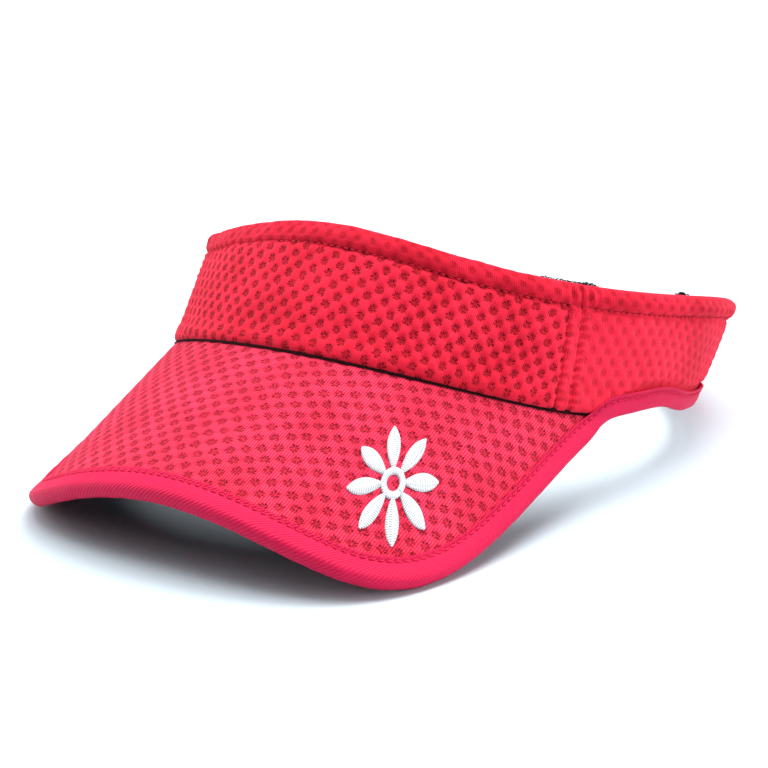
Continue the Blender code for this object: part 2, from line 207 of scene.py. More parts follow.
def arc(u):
    """Length along the band's middle line from the brow's centre."""
    return np.interp(u, FINE_U, FINE_ARC)


def outline(t):
    """The bill's edge in plan: 0 at its nose, -1 and 1 at its two roots."""
    side, t = np.where(t >= 0, 1.0, -1.0), np.abs(t)
    corner = math.radians(BILL_ROOT)
    root = np.array([HALF_WIDTH * math.sin(corner), -HALF_LENGTH * math.cos(corner)])
    nose = np.array([0.0, -HALF_LENGTH - BILL_REACH])
    sweep = unit(np.array([SIDE_SWEEP, -1.0]))
    points = (nose, nose + [FRONT_HANDLE, 0.0], root + sweep * SIDE_HANDLE, root)
    weights = ((1 - t) ** 3, 3 * t * (1 - t) ** 2, 3 * t * t * (1 - t), t ** 3)
    plan = sum(np.multiply.outer(w, p) for w, p in zip(weights, points))
    return plan[..., 0] * side, plan[..., 1]


def on_bill(x, y, under):
    return stack(x, y, bill_height(x, y)) - bill_normal(x) * np.asarray(under)[..., None]


def bill_edge(t, inset, under):
    """A point near the bill's edge: inset along the face, then down through the layers."""
    t, inset, under = np.broadcast_arrays(t, inset, under)
    step = 0.002
    (x1, y1), (x0, y0) = outline(np.clip(t + step, -1, 1)), outline(np.clip(t - step, -1, 1))
    x, y = outline(t)
    length = np.hypot(x1 - x0, y1 - y0)
    nx, ny = -(y1 - y0) / length, (x1 - x0) / length
    stretch = np.hypot(1.0, bill_height(x + nx, y + ny) - bill_height(x, y))
    return on_bill(x + nx * inset / stretch, y + ny * inset / stretch, under)


def bill_root(t, inset):
    a = math.radians(BILL_ROOT) * t
    out = band_out(a)
    return HALF_WIDTH * np.sin(a) - out[..., 0] * inset, -HALF_LENGTH * np.cos(a) - out[..., 1] * inset


def bill_sheet(a, b, under, end=0.955, root_inset=1.6):
    """A face inside the bill's edge: a runs across it, b from the band to the edge."""
    t = (2.0 * a - 1.0) * end
    x0, y0 = bill_root(t, root_inset)
    rim = bill_edge(t, COVER_INSET, 0.0)
    x, y = x0 + (rim[..., 0] - x0) * b, y0 + (rim[..., 1] - y0) * b
    return on_bill(x, y, under)


def bill_cloth(points):
    """Flat place of a bill point in its cloth, along the mesh's grain from one eyelet."""
    turn = np.arcsin(np.clip(points[..., 0] / BILL_RADIUS, -0.999, 0.999))
    fall = BILL_RADIUS * (1.0 - np.cos(turn)) * math.sin(BILL_PITCH)
    across = BILL_RADIUS * turn - BILL_EYELET[0]
    out = (fall - HALF_LENGTH - points[..., 1]) / math.cos(BILL_PITCH) - BILL_EYELET[1]
    c, s = math.cos(BILL_GRAIN), math.sin(BILL_GRAIN)
    return np.stack([across * c + out * s, out * c - across * s], axis=-1)


def band_cloth(u, h, side=0.0):
    """Flat place of a band point in its cloth; the brow's mesh fans out, the sides' is straight."""
    x, up = arc(u), h - FAN_HEIGHT
    fan = SIDE_FAN * side if side else BAND_FAN * (x - FAN_ARC)
    climb = (BAND_SLOPE - SIDE_CLIMB * side) * x + BAND_BOW * x * x
    return np.stack([x - fan * up - BAND_EYELET[0], up + climb - BAND_EYELET[1]], axis=-1)


def cone(theta, height, depth):
    """A point on the back cone that the strap lies on; theta in degrees towards the wearer's left."""
    lean, turn = math.radians(-BACK_LEAN), np.radians(theta)
    radius = HALF_LENGTH - BACK_CENTRE + 0.7 + height * math.sin(lean) - depth * math.cos(lean)
    z = height * math.cos(lean) + depth * math.sin(lean)
    return stack(radius * np.sin(turn), BACK_CENTRE + radius * np.cos(turn), z)


def strap_depth(theta):
    """Depth of the strap's middle: inside the band at its root, outside it at its tip."""
    across = ease((STRAP_CROSS - theta) / (2.0 * STRAP_CROSS))
    return STRAP_INSIDE + (STRAP_OUTSIDE - STRAP_INSIDE) * across


# ---------------- cloth relief
def puff(cloth, cell):
    """Height of the padding, 0 at the eyelets and 1 between them."""
    wide, tall = cell
    across, up = TAU * cloth[..., 0] / wide, TAU * cloth[..., 1] / tall
    return 0.5 - 0.5 * np.cos(across) * np.cos(up)


def soft_noise(x, y, size, seed):
    flat = [noise.noise(Vector((a / size, b / size, seed))) for a, b in zip(x.ravel(), y.ravel())]
    return np.array(flat).reshape(x.shape)


# ---------------- mesh making
def add_object(name, data):
    obj = bpy.data.objects.new(name, data)
    bpy.context.scene.collection.objects.link(obj)
    return obj


def to_table(points):
    return points * 0.001 @ TURN.T + PLACE


def grid_quads(rows, cols, start, flip):
    ids = start + np.arange(rows * cols).reshape(rows, cols)
    quads = [ids[:-1, :-1], ids[1:, :-1], ids[1:, 1:], ids[:-1, 1:]]
    return np.stack([q.ravel() for q in (quads[::-1] if flip else quads)], axis=-1)


def shell_parts(outer, inner, uv, start):
    """Points, faces and cloth coordinates of a closed sheet: an outer face, an inner face and a rim."""
    rows, cols = outer.shape[:2]
    count = rows * cols
    ids = start + np.arange(count).reshape(rows, cols)
    faces = [grid_quads(rows, cols, start, False), grid_quads(rows, cols, start + count, True)]
    ring = np.concatenate([ids[:, 0], ids[-1, 1:], ids[-2::-1, -1], ids[0, -2:0:-1]])
    after = np.roll(ring, -1)
    faces.append(np.stack([ring, ring + count, after + count, after], axis=-1))
    points = np.concatenate([outer.reshape(-1, 3), inner.reshape(-1, 3)])
    return points, np.concatenate(faces), np.tile(uv.reshape(-1, 2), (2, 1))


def build(name, shells, material):
    """One mesh object from closed sheets, each (outer, inner, uv) in the wearing frame."""
    points, faces, uvs, start = [], [], [], 0
    for outer, inner, uv in shells:
        p, f, w = shell_parts(outer, inner, uv, start)
        q = to_table(p)[f - start]
        volume = (q[:, 0] * (np.cross(q[:, 1], q[:, 2]) + np.cross(q[:, 2], q[:, 3]))).sum()
        points.append(p)
        faces.append(f if volume > 0 else f[:, ::-1])
        uvs.append(w)
        start += len(p)
    points, faces, uvs = np.concatenate(points), np.concatenate(faces), np.concatenate(uvs)
    mesh = bpy.data.meshes.new(name)
    mesh.vertices.add(len(points))
    mesh.vertices.foreach_set("co", to_table(points).ravel())
    mesh.loops.add(faces.size)
    mesh.loops.foreach_set("vertex_index", faces.ravel().astype(np.int32))
    mesh.polygons.add(len(faces))
    mesh.polygons.foreach_set("loop_start", np.arange(0, faces.size, 4, dtype=np.int32))
    layer = mesh.uv_layers.new(name="cloth")
    layer.data.foreach_set("uv", (uvs[faces.ravel()] * 0.001).ravel())
    mesh.update(calc_edges=True)
    mesh.validate()
    mesh.shade_smooth()
    mesh.set_sharp_from_angle(angle=math.radians(60.0))
    obj = add_object(name, mesh)
    obj.data.materials.append(material)
    return obj


def grid(rows, cols):
    return np.meshgrid(np.linspace(0, 1, rows), np.linspace(0, 1, cols), indexing="ij")


def flat_map(across, up):
    """Cloth coordinates in millimetres."""
    return np.stack(np.broadcast_arrays(across, up), axis=-1)


def band_layer(name, u, v, outer, inner, material):
    """A closed sheet on the band between two depths."""
    cloth = flat_map(arc(u), v * wall_length(u))
    return build(name, [(band(u, v, outer), band(u, v, inner), cloth)], material)


def smooth_path(points, count):
    """The same path with count evenly spaced points."""
    length = path_length(points)
    at = np.linspace(0.0, length[-1], count)
    return np.stack([np.interp(at, length, points[:, k]) for k in range(points.shape[1])], axis=-1)


def set_role(piece, node=None, body="visor"):
    """Says which body a piece rides on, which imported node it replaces."""
    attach(piece, body)
    if node:
        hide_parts(node)


def declare_sheet(cloth):
    """Scales a sheet's cloth coordinates from millimetres to metres; the result is not kept."""
    cloth = cloth * 0.001


# ---------------- node tools
def add_node(tree, kind, inputs=(), **settings):
    """Adds a node; inputs gives its sockets, by name or number, a value or an output to link."""
    made = tree.nodes.new(kind)
    for key, value in settings.items():
        setattr(made, key, value)
    for key, value in dict(inputs).items():
        if isinstance(value, bpy.types.NodeSocket):
            tree.links.new(value, made.inputs[key])
        else:
            made.inputs[key].default_value = value
    return made


def node_tool(name, sizes):
    """A geometry node group, and what it is given: a mesh, named sizes and a material."""
    tree = bpy.data.node_groups.new(name, "GeometryNodeTree")
    tree.interface.new_socket("Geometry", in_out="INPUT", socket_type="NodeSocketGeometry")
    for label, value in sizes.items():
        kind = "NodeSocketInt" if isinstance(value, int) else "NodeSocketFloat"
        tree.interface.new_socket(label, in_out="INPUT", socket_type=kind).default_value = value
    tree.interface.new_socket("Material", in_out="INPUT", socket_type="NodeSocketMaterial")
    tree.interface.new_socket("Geometry", in_out="OUTPUT", socket_type="NodeSocketGeometry")
    return tree, tree.nodes.new("NodeGroupInput").outputs


def finish_tool(tree, given, place):
    """Sets instances on points as place says, and gives the whole its material."""
    placed = add_node(tree, "GeometryNodeInstanceOnPoints", place)
    real = add_node(tree, "GeometryNodeRealizeInstances", {"Geometry": placed.outputs[0]})
    shade = add_node(tree, "GeometryNodeSetShadeSmooth", {"Geometry": real.outputs[0]})
    paint = {"Geometry": shade.outputs[0], "Material": given["Material"]}
    made = add_node(tree, "GeometryNodeSetMaterial", paint)
    add_node(tree, "NodeGroupOutput", {"Geometry": made.outputs[0]})
    return tree


def stitch_tool():
    """Thread stitches laid end to end along a path."""
    tree, given = node_tool("stitch_run", {"Pitch": 0.0026, "Length": 0.002, "Radius": 0.00025})
    node = partial(add_node, tree)
    path = node("GeometryNodeMeshToCurve", {0: given["Geometry"]}).outputs[0]
    even = node("GeometryNodeResampleCurve", {"Curve": path, "Length": given["Pitch"]}, mode="LENGTH")
    bead = node("GeometryNodeMeshUVSphere", {"Segments": 8, "Rings": 6, "Radius": 1.0}).outputs["Mesh"]
    half = node("ShaderNodeMath", {0: given["Length"], 1: 0.5}, operation="MULTIPLY").outputs[0]
    scale = node("ShaderNodeCombineXYZ", {"X": given["Radius"], "Y": given["Radius"], "Z": half}).outputs[0]
    stitch = node("GeometryNodeTransform", {"Geometry": bead, "Scale": scale}).outputs[0]
    tangent = node("GeometryNodeInputTangent").outputs[0]
    aim = node("FunctionNodeAlignRotationToVector", {"Vector": tangent}, axis="Z").outputs[0]
    return finish_tool(tree, given, {"Points": even.outputs[0], "Instance": stitch, "Rotation": aim})


def pile_tool():
    """Small yarn loops standing on a cloth face, turned at random."""
    sizes = {"Density": 900000.0, "Loop": 0.0007, "Yarn": 0.00012, "Seed": 3}
    tree, given = node_tool("yarn_loops", sizes)
    node = partial(add_node, tree)
    spread = {"Mesh": given["Geometry"], "Density": given["Density"], "Seed": given["Seed"]}
    points = node("GeometryNodeDistributePointsOnFaces", spread).outputs["Points"]
    ring = node("GeometryNodeCurvePrimitiveCircle", {"Resolution": 7, "Radius": given["Loop"]}).outputs[0]
    yarn = node("GeometryNodeCurvePrimitiveCircle", {"Resolution": 3, "Radius": given["Yarn"]}).outputs[0]
    loop = node("GeometryNodeCurveToMesh", {"Curve": ring, "Profile Curve": yarn}).outputs[0]
    turns = {"Min": (0.0,) * 3, "Max": (FULL_TURN,) * 3, "Seed": given["Seed"]}
    turn = node("FunctionNodeRandomValue", turns, data_type="FLOAT_VECTOR").outputs[0]
    grow = node("FunctionNodeRandomValue", {2: LOOP_LEAST, 3: LOOP_MOST}, data_type="FLOAT").outputs[1]
    return finish_tool(tree, given, {"Points": points, "Instance": loop, "Rotation": turn, "Scale": grow})


def run_tool(name, tree, points, edges, faces, material, **sizes):
    """Runs a tool on a small mesh and returns the result as a plain mesh object."""
    mesh = bpy.data.meshes.new(name + "_base")
    mesh.from_pydata([tuple(p) for p in points], edges, faces)
    base = add_object(name + "_base", mesh)
    mod = base.modifiers.new("tool", "NODES")
    mod.node_group = tree
    slots = {s.name: s.identifier for s in tree.interface.items_tree if s.in_out == "INPUT"}
    for label, value in sizes.items():
        mod[slots[label.capitalize()]] = value
    mod[slots["Material"]] = material
    bpy.context.view_layer.update()
    made = bpy.data.meshes.new_from_object(base.evaluated_get(bpy.context.evaluated_depsgraph_get()))
    made.name = name
    obj = add_object(name, made)
    bpy.data.objects.remove(base, do_unlink=True)
    return obj


STITCHES, PILE = stitch_tool(), pile_tool()
PATH_POINTS = 160


def stitch_run(name, paths, material, pitch, length, radius):
    """Stitches along one or more paths of wearing-frame points."""
    points, edges = [], []
    for path in paths:
        start = len(points)
        points += list(to_table(smooth_path(path, PATH_POINTS)))
        edges += [(start + i, start + i + 1) for i in range(PATH_POINTS - 1)]
    sizes = {"pitch": pitch * 0.001, "length": length * 0.001, "radius": radius * 0.001}
    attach(run_tool(name, STITCHES, points, edges, [], material, **sizes), "visor")


def yarn_loops(name, patch, material, density, loop, yarn, seed, slot, body="visor"):
    """Yarn loops over a patch of wearing-frame points, density of them to a square millimetre."""
    faces = grid_quads(*patch.shape[:2], 0, False).tolist()
    sizes = {"density": density * 1e6, "loop": loop * 0.001, "yarn": yarn * 0.001, "seed": seed}
    piece = run_tool(name, PILE, to_table(patch.reshape(-1, 3)), [], faces, material, **sizes)
    set_role(piece, body=body)


# ---------------- finishes
class Finish:
    """A Principled material and short ways to add nodes to it."""

    def __init__(self, name, roughness=0.85, sheen=0.0, specular=0.5):
        self.material = bpy.data.materials.new(name)
        self.material.use_nodes = True
        self.tree = self.material.node_tree
        self.shader = self.tree.nodes["Principled BSDF"]
        values = {"Roughness": roughness, "Specular IOR Level": specular, "Sheen Weight": sheen}
        for label, value in {**values, "Sheen Roughness": 0.5}.items():
            self.shader.inputs[label].default_value = value

    def node(self, kind, inputs=(), **settings):
        return add_node(self.tree, kind, inputs, **settings)

    def math(self, operation, *values, clamp=False):
        return self.node("ShaderNodeMath", enumerate(values), operation=operation, use_clamp=clamp).outputs[0]

    times = partialmethod(math, "MULTIPLY")
    plus = partialmethod(math, "ADD")
    minus = partialmethod(math, "SUBTRACT")
    times_plus = partialmethod(math, "MULTIPLY_ADD")

    def between(self, value, low, high):
        """0 below low, 1 above high, smooth between; low may be above high."""
        inputs = {"Value": value, "From Min": low, "From Max": high}
        return self.node("ShaderNodeMapRange", inputs, interpolation_type="SMOOTHSTEP").outputs["Result"]

    def mix(self, amount, first, second):
        """A colour between two, each a socket or three numbers."""
        first, second = ((*c, 1.0) if isinstance(c, tuple) else c for c in (first, second))
        made = self.node("ShaderNodeMix", {"Factor": amount, 6: first, 7: second}, data_type="RGBA")
        return made.outputs[2]

    def cloth(self):
        """The piece's cloth coordinates in millimetres, as two sockets."""
        uv = self.node("ShaderNodeUVMap", uv_map="cloth").outputs[0]
        split = self.node("ShaderNodeSeparateXYZ", {0: uv}).outputs
        return self.times(split[0], 1000.0), self.times(split[1], 1000.0)

    def place(self):
        return self.node("ShaderNodeTexCoord").outputs["Object"]

    def mottle(self, scale, detail=2.0):
        inputs = {"Vector": self.place(), "Scale": scale, "Detail": detail}
        return self.node("ShaderNodeTexNoise", inputs).outputs["Fac"]

    def stray(self, scale, size):
        """Noise to either side of 0."""
        return self.times(self.minus(self.mottle(scale, 1.0), 0.5), size)

    def wave(self, value, pitch):
        """A 0 to 1 wave with the given pitch in millimetres."""
        angle = self.times(value, TAU / pitch)
        return self.times_plus(self.math("SINE", angle), 0.5, 0.5)

    def cosine(self, value, pitch):
        return self.math("COSINE", self.times(value, TAU / pitch))

    def from_centre(self, value, pitch, shift):
        """Distance from the middle of the nearest cell, the cells moved on by shift of their pitch."""
        cell = self.math("FRACT", self.times_plus(value, 1.0 / pitch, shift))
        return self.times(self.minus(cell, 0.5), pitch)

    def colour(self, value):
        self.tree.links.new(value, self.shader.inputs["Base Color"])

    def bump(self, height, distance):
        made = self.node("ShaderNodeBump", {"Strength": 1.0, "Distance": distance, "Height": height})
        self.tree.links.new(made.outputs[0], self.shader.inputs["Normal"])


def mesh_cloth(name, cell, colours, ring, rib_pitch, rib_lean, strength, spread, reach, rib_depth, sheen):
    """Knitted sports mesh: eyelets in small frayed rings on a centred lattice, with fine ribs between them.

    ring is an eyelet's radius and strength its darkness; spread and reach are how dark and how wide the
    painted shade in the dip round it is; rib_depth is how dark the grooves between the ribs are.
    """
    bright, deep, hole = colours
    f = Finish(name, sheen=sheen, specular=0.05)
    f.shader.inputs["Sheen Tint"].default_value = (1.0, 0.35, 0.45, 1.0)
    x, y = f.cloth()
    wide, tall = cell
    near_x, near_y = f.plus(x, f.stray(130.0, 1.1)), f.plus(y, f.stray(170.0, 1.1))
    wander = f.times(f.mottle(220.0, 0.0), 22.0)
    frayed = f.between(f.mottle(1300.0, 1.0), 0.36, 0.56)
    ragged = f.stray(800.0, 1.5)
    spots = []
    for shift in (0.0, 0.5):
        dx, dy = f.from_centre(near_x, wide, shift), f.from_centre(near_y, tall, shift)
        far = f.plus(f.math("SQRT", f.plus(f.times(dx, dx), f.times(dy, dy))), ragged)
        petals = f.math("COSINE", f.times_plus(f.math("ARCTAN2", dy, dx), 7.0, wander))
        rim = f.times(f.between(far, ring + 0.6, ring + 0.15), f.between(far, ring - 0.95, ring - 0.35))
        spots.append(f.times(rim, f.between(petals, -0.7, 0.35)))
    eye = f.times(f.math("MAXIMUM", *spots), f.times_plus(frayed, 0.7, 0.3))
    dip_and_painted_shade = f.between(f.times(f.cosine(near_x, wide), f.cosine(near_y, tall)), reach, 0.9)
    c, s = math.cos(rib_lean), math.sin(rib_lean)
    across, along = f.plus(f.times(x, c), f.times(y, s)), f.minus(f.times(y, c), f.times(x, s))
    rib = f.wave(f.plus(across, f.times(f.mottle(900.0, 1.0), 0.35)), rib_pitch)
    knit = f.times_plus(rib, 0.85, f.times(f.wave(along, rib_pitch * 1.4), 0.15))
    shade = f.mix(f.times(f.between(f.mottle(60.0), 0.35, 0.7), 0.35), bright, deep)
    shade = f.mix(f.times(f.minus(1.0, knit), rib_depth), shade, deep)
    # Painted shade: the dips between the padded puffs are darkened towards deep.
    shade = f.mix(f.times(dip_and_painted_shade, spread * strength), shade, deep)
    f.colour(f.mix(f.times(eye, 0.95 * strength), shade, hole))
    pits = f.times(f.plus(f.times(dip_and_painted_shade, 0.5), eye), -strength)
    f.bump(f.times_plus(knit, 0.20, pits), 0.0004)
    return f.material


TWILL_LEAN = 0.9


def twill(name, bright, deep, pitch=0.75, sheen=0.2):
    """Woven tape with fine slanting ribs."""
    f = Finish(name, roughness=0.62, sheen=sheen, specular=0.15)
    f.shader.inputs["Sheen Tint"].default_value = (1.0, 0.5, 0.8, 1.0)
    x, y = f.cloth()
    c, s = math.cos(TWILL_LEAN), math.sin(TWILL_LEAN)
    rib = f.wave(f.plus(f.times(x, c), f.times(y, s)), pitch)
    thread = f.wave(f.minus(f.times(x, s), f.times(y, c)), pitch * 0.6)
    weave = f.times_plus(rib, 0.75, f.times(thread, 0.25))
    shade = f.mix(f.times(f.mottle(45.0), 0.5), bright, deep)
    f.colour(f.mix(f.times(f.minus(1.0, weave), 0.75), shade, deep))
    f.bump(weave, 0.00016)
    return f.material


def plain_weave(name, bright, deep, pitch=0.6, depth=0.00012, rough=0.9, sheen=0.1):
    """Plain woven cloth or webbing: two sets of threads crossing."""
    f = Finish(name, roughness=rough, sheen=sheen, specular=0.1)
    x, y = f.cloth()
    weave = f.times(f.wave(x, pitch), f.wave(y, pitch * 1.2))
    weave = f.times_plus(weave, 0.8, f.times(f.mottle(400.0), 0.2))
    f.colour(f.mix(weave, deep, bright))
    f.bump(weave, depth)
    return f.material


def nap(name, bright, deep, size, depth):
    """Looped or brushed pile."""
    f = Finish(name, roughness=0.95, sheen=0.35, specular=0.15)
    cells = f.node("ShaderNodeTexVoronoi", {"Vector": f.place(), "Scale": size}, feature="F1")
    loops = f.between(cells.outputs["Distance"], 0.75, 0.1)
    height = f.times_plus(loops, 0.7, f.times(f.mottle(size * 0.6), 0.5))
    f.colour(f.mix(f.math("MULTIPLY", height, 1.0, clamp=True), deep, bright))
    f.bump(height, depth)
    return f.material


def satin_thread(name, bright, deep):
    """Glossy twisted embroidery thread, each one slanting across the stitch."""
    f = Finish(name, roughness=0.6, sheen=0.1)
    x, y = f.cloth()
    strand = f.wave(f.times_plus(y, 0.12, x), THREAD_PITCH)
    f.colour(f.mix(strand, deep, bright))
    f.bump(strand, 0.00006)
    return f.material


def grained(name, bright, deep, roughness=0.7, specular=0.3, scale=900.0, depth=0.00005):
    """A fine even grain, for the threads of small stitches and for moulded plastic."""
    f = Finish(name, roughness=roughness, specular=specular)
    grain = f.mottle(scale)
    f.colour(f.mix(grain, deep, bright))
    f.bump(grain, depth)
    return f.material


def moulded(name, colour):
    return grained(name, colour, tuple(0.8 * c for c in colour), 0.5, 0.5, 700.0, 0.00004)


CRIMSON, CRIMSON_DEEP = (0.88, 0.024, 0.060), (0.40, 0.002, 0.008)
BAND_COLOURS = (CRIMSON, CRIMSON_DEEP, (0.110, 0.0005, 0.0020))
SIDE_COLOURS = (CRIMSON, CRIMSON_DEEP, (0.22, 0.002, 0.005))
BILL_COLOURS = ((0.88, 0.058, 0.132), (0.42, 0.005, 0.020), (0.16, 0.001, 0.006))
HEM_COLOURS = ((0.82, 0.019, 0.050), (0.30, 0.001, 0.005), (0.30, 0.002, 0.006))
# The numbers are ring, rib_pitch, rib_lean, strength, spread, reach, rib_depth and sheen; spread and reach set
# the painted shade in the dips.
band_mesh = mesh_cloth("band_mesh", BAND_CELL, BAND_COLOURS, 1.05, 0.62, 0.0, 0.85, 0.60, -0.3, 0.4, 0.16)
side_mesh = mesh_cloth("side_mesh", BAND_CELL, SIDE_COLOURS, 0.9, 0.62, 0.0, 0.30, 0.7, -0.2, 0.3, 0.25)
bill_mesh = mesh_cloth("bill_mesh", BILL_CELL, BILL_COLOURS, 1.15, 0.85, -0.12, 0.85, 0.70, -0.6, 0.95, 0.16)
hem_knit = mesh_cloth("hem_knit", BAND_CELL, HEM_COLOURS, 0.9, 0.62, 0.0, 0.30, 1.2, -0.3, 0.4, 0.16)
edge_twill = twill("edge_twill", (0.80, 0.010, 0.090), (0.46, 0.002, 0.034), pitch=0.9, sheen=0.02)
seam_twill = twill("seam_twill", (0.70, 0.010, 0.045), (0.5, 0.005, 0.03))
terry = nap("black_terry", (0.030, 0.032, 0.036), (0.004, 0.004, 0.005), 1100.0, 0.0006)
loop_nap = nap("loop_nap", (0.035, 0.035, 0.038), (0.006, 0.006, 0.007), 1500.0, 0.0003)
yarn_black = grained("yarn_black", (0.018, 0.021, 0.022), (0.007, 0.008, 0.009), specular=0.05)
under_cloth = plain_weave("under_cloth", (0.028, 0.036, 0.038), (0.010, 0.013, 0.014))
end_cloth = plain_weave("end_cloth", (0.03, 0.03, 0.034), (0.008, 0.008, 0.009), 0.9, 0.0002)
webbing = plain_weave("webbing", (0.035, 0.035, 0.04), (0.008, 0.008, 0.01), 1.6, 0.0003)
# Dark grey foam: it shows only in the gap under the band's rolled lower edge, and is dark there as painted
# shade.
sponge = plain_weave("sponge", (0.03, 0.03, 0.03), (0.01, 0.01, 0.01), 1.0, 0.0002)
label_cloth = plain_weave("label_cloth", (0.85, 0.85, 0.83), (0.7, 0.7, 0.69), 0.4, 0.00005, 0.6)
satin_white = satin_thread("satin_white", (0.74, 0.75, 0.77), (0.36, 0.38, 0.42))
stitch_crimson = grained("stitch_crimson", (0.72, 0.008, 0.04), (0.5, 0.004, 0.02))
stitch_magenta = grained("stitch_magenta", (0.74, 0.006, 0.07), (0.5, 0.003, 0.04))
stitch_black = grained("stitch_black", (0.02, 0.02, 0.022), (0.008, 0.008, 0.009))
# Near-black strip for the crease under the band's lower edge: partly seam allowance, mostly painted shade.
join_seam_shade = plain_weave("join_seam_shade", (0.020, 0.001, 0.002), (0.006, 0.0005, 0.001), sheen=0.0)
hook_nylon = moulded("hook_nylon", (0.02, 0.02, 0.022))
board_plastic = moulded("board_plastic", (0.03, 0.03, 0.03))


# ---------------- band
def seam_at(v):
    """Angle of the side seam in degrees, at a share of the band's height."""
    return SEAM_LOW + (SEAM_HIGH - SEAM_LOW) * v


def hem_width(u):
    return np.interp(np.degrees(np.abs(u)), [0, 180], [HEM_FRONT, HEM_BACK])


def panel(u, v, side=0.0):
    """Outer depth of a padded panel: puffs between eyelets, a rolled lower edge, and its seams pressed in."""
    length = wall_length(u)
    x, h = arc(u), v * length
    hem = hem_width(u)
    room = ease((h - 3.0) / 5.0) * ease((length - h - hem) / 3.0)
    soft = 0.55 if side else 0.45 + 0.55 * ease((x - 8.0) / 35.0)
    depth = 0.20 - puff(band_cloth(u, h, side), BAND_CELL) * (0.15 + 0.70 * room) * soft
    depth -= 0.50 * soft_noise(x, h, 19.0, 4.0) * ease(h / 6.0)
    depth -= 1.05 * bump_at(h, 3.8, 3.4)
    roll = np.clip((2.6 - h) / 2.4, 0.0, 1.0)
    depth += 2.6 * (1.0 - np.sqrt(1.0 - 0.98 * roll ** 2))
    depth += (0.45 + 0.45 * ease((x + 30.0) / 60.0)) * bump_at(length - h, hem + 0.2, 1.3)
    gather = 0.5 - 0.5 * np.cos(h * TAU / GATHER_PITCH)
    for way in (-1.0, 1.0):
        off = way * (x - arc(np.radians(way * seam_at(v))))
        flat = ease((np.abs(off) - 2.2) / 3.5)
        depth += (0.10 - depth) * 0.6 * (1.0 - flat)
        depth += (0.55 + 0.6 * gather) * bump_at(off, -SEAM_SHIFT, 0.7)
        depth += (0.45 + 0.6 * gather) * bump_at(off, SEAM_SHIFT, 0.7)
        welts = bump_at(off, -SEAM_SHIFT + 1.7, 0.9) + bump_at(off, SEAM_SHIFT + 1.6, 1.0)
        depth -= 0.45 * (1.2 - gather) * welts
    deg = np.degrees(np.abs(u))
    cover = 2.5 + (BACK_TAPE - 1.0) * ease((deg - 68.0) / 10.0)
    under_tape = ease((deg - 66.0) / 5.0) * ease((cover + 1.5 - h) / 2.0)
    return depth + under_tape * np.maximum(0.55 - depth, 0.0)


def add_panel(name, node, u, b, side):
    v = rows_up(u, 0.35, 1.0, 0.75 * b + 0.25 * b * b)
    outer = panel(u, v, side)
    inner = np.maximum(1.35, outer + 0.4)
    cloth = band_cloth(u, v * wall_length(u), side)
    piece = build(name, [(band(u, v, outer), band(u, v, inner), cloth)], side_mesh if side else band_mesh)
    set_role(piece, node)


def add_sponge(name, node, u, b, low):
    v = rows_up(u, low, 1.6, b)
    rough = 0.08 * soft_noise(arc(u), v * 40.0, 3.0, 9.0)
    piece = band_layer(name, u, v, FOAM_TOP + rough, FOAM_INNER + rough, sponge)
    set_role(piece, node)


def seam_turn(b, shift):
    """Angle of a line beside the side seam, in radians; shift is millimetres towards the back."""
    middle = np.radians(seam_at(b))
    return middle + shift / np.interp(middle, FINE_U[:-1], np.diff(FINE_ARC) / np.diff(FINE_U))


a, b = grid(361, 107)
add_panel("front_panel", "front_panel_mesh", (2.0 * a - 1.0) * seam_turn(b, -SEAM_SHIFT - 0.05), b, 0.0)
for word, side, foam_end in (("left", 1.0, 137.0), ("right", -1.0, PANEL_END - 0.5)):
    a, b = grid(301, 83)
    start = seam_turn(b, -SEAM_SHIFT + 0.05)
    u = side * (start + (math.radians(PANEL_END) - start) * a)
    add_panel(f"side_panel_{word}", f"side_panel_mesh_{word}", u, b, side)

    a, b = grid(101, 21)
    start = seam_at(b) + 0.2
    u = np.radians(side * (start + (foam_end - start) * a))
    add_sponge(f"side_sponge_{word}", f"side_panel_foam_{word}", u, b, 1.6)

    a, b = grid(13, 61)
    u = np.radians(side * (seam_at(b) + (2.0 * a - 1.0) * 3.5))
    v = rows_up(u, 2.0, HEM_FRONT + 1.5, b)
    piece = band_layer(f"seam_tape_{word}", u, v, TAPE_DEPTH, TAPE_DEPTH + TAPE_THICK, seam_twill)
    set_role(piece, f"side_seam_tape_{word}")

    a, b = grid(17, 41)
    u = np.radians(side * (PANEL_END - 3.8 * (1.0 - a)))
    v = rows_up(u, BACK_TAPE + 0.4, HEM_BACK + 0.7, b)
    crown = 0.25 * (1.0 - (2.0 * a - 1.0) ** 4)
    piece = band_layer(f"end_tape_{word}", u, v, -0.85 - crown, 0.1, end_cloth)
    set_role(piece, f"panel_end_tape_{word}")

a, b = grid(121, 25)
u = np.radians((2.0 * a - 1.0) * (seam_at(b) - 0.2))
add_sponge("front_sponge", "front_panel_foam", u, b, 1.9)


def hem_section(u, b):
    """Distance under the top and depth of the rolled hem, from its outer lower edge over to the inner."""
    legs = np.where(b < 0.5, 1.0 - b / HEM_LEG, (b - 1.0 + HEM_LEG) / HEM_LEG)
    down = hem_width(u) * np.clip(legs, 0.0, 1.0) - ease((0.2 - np.abs(b - 0.5)) / 0.2)
    full = np.sin(math.pi * np.clip((b + 0.03) / 0.44, 0, 1))
    outside = -0.05 - (0.40 + 0.60 * ease((arc(u) + 30.0) / 60.0)) * full + 0.55 * ease((0.06 - b) / 0.06)
    inside = TAPE_DEPTH + TAPE_THICK - 0.2
    return down, outside + (inside - outside) * ease((b - 0.30) / 0.40)


